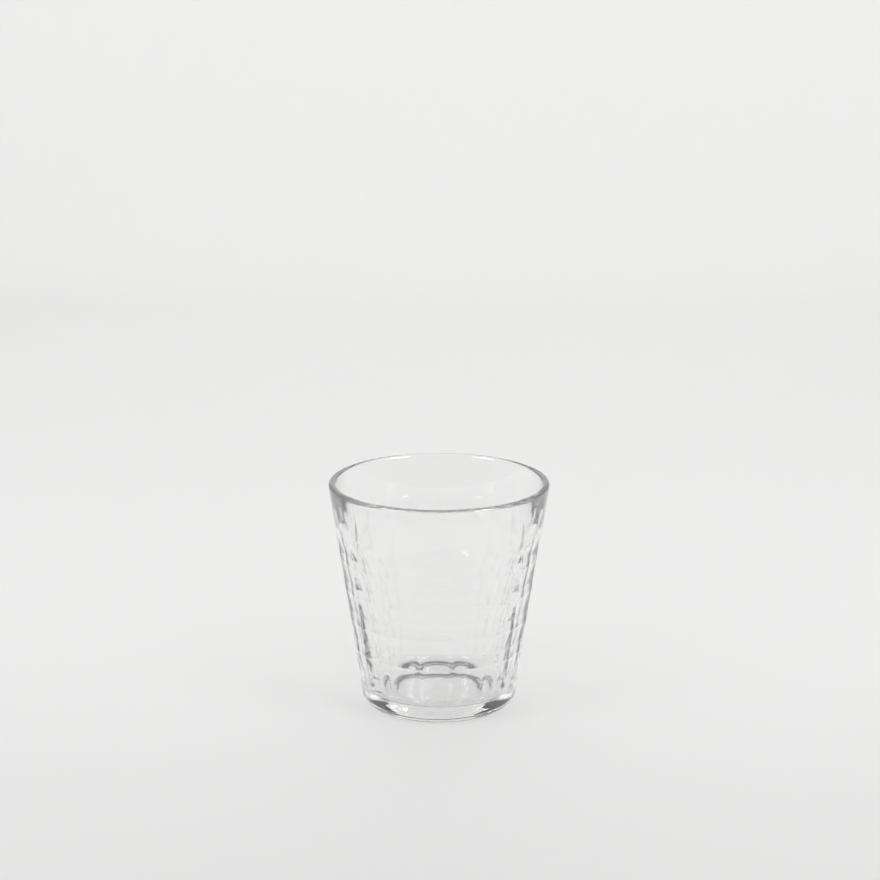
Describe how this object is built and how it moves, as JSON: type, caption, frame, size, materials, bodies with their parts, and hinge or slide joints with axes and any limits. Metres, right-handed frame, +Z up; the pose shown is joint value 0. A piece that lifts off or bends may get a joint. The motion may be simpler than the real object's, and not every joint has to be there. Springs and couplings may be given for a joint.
{
  "type": "water glass",
  "caption": "Clear pressed-glass water tumbler: tapered cup with a thick plain base, rows of slightly dished facets in a grid and a plain band up to a rounded lip.",
  "frame": {"origin": "centre of the base, on the table", "axes": "+Z up along the axis of the glass, -Y towards the middle of one column of facets"},
  "size_m": [0.084, 0.084, 0.088],
  "materials": {
    "clear_glass": "clear, smooth, fire-polished pressed glass"
  },
  "bodies": {
    "root": {"base": "clear_glass", "facet_tier_1": "clear_glass", "facet_tier_2": "clear_glass", "facet_tier_3": "clear_glass", "facet_tier_4": "clear_glass", "facet_tier_5": "clear_glass", "rim_band": "clear_glass"}
  },
  "joints": []
}
